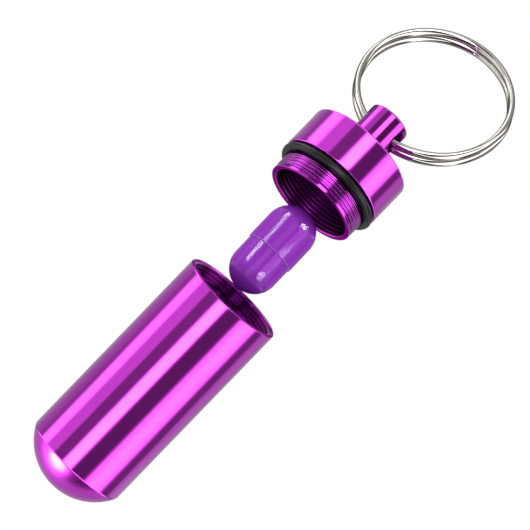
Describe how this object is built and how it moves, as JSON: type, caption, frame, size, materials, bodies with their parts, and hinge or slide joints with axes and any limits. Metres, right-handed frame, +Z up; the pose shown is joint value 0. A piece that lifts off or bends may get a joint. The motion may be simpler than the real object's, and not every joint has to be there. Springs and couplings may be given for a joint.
{
  "type": "capsule case",
  "caption": "Turned aluminium capsule tube with a screw cap, rubber seal and split key ring, shown open with the capsule it holds.",
  "frame": {"origin": "on the tube's axis, halfway along its straight wall, where it is held", "axes": "+X along the tube towards its mouth, +Z up"},
  "size_m": [0.0747, 0.0321, 0.02],
  "materials": {
    "anodised_tube": "violet anodised, bright turned",
    "anodised_cap": "violet anodised, bright turned",
    "black_rubber": "matt black",
    "plated_steel": "bright nickel plate",
    "capsule_shell": "glossy violet gelatine shell",
    "capsule_powder": "pale powder"
  },
  "bodies": {
    "tube": {"tube": "anodised_tube"},
    "capsule": {"capsule_cap": "capsule_shell", "capsule_body": "capsule_shell", "capsule_fill": "capsule_powder"},
    "seal": {"o_ring": "black_rubber"},
    "cap": {"cap": "anodised_cap"},
    "key_ring": {"split_ring": "plated_steel"}
  },
  "joints": [
    {"name": "line_up", "type": "hinge", "parent": "tube", "child": "capsule", "pos_m": [0.01482, 0.02762, 0.00064], "axis": [0.0845, 0.0234, -0.9961], "range_deg": [0, 31.11]},
    {"name": "cap_close", "type": "slide", "parent": "capsule", "child": "seal", "axis": [-0.8572, -0.515, 0], "range_m": [0, 0.00305]},
    {"name": "cap_turn", "type": "hinge", "parent": "seal", "child": "cap", "pos_m": [0.0292, 0.00404, 0.0013], "axis": [-0.8572, -0.515, 0], "range_deg": [0, 2196]},
    {"name": "ring_swing", "type": "hinge", "parent": "cap", "child": "key_ring", "pos_m": [0.0406, 0.01089, 0.0013], "axis": [0.1634, -0.272, -0.9483], "range_deg": [-102, 128]}
  ],
  "couplings": [
    {"joint": "cap_close", "follows": "cap_turn", "m_per_rad": 0.000079577}
  ]
}
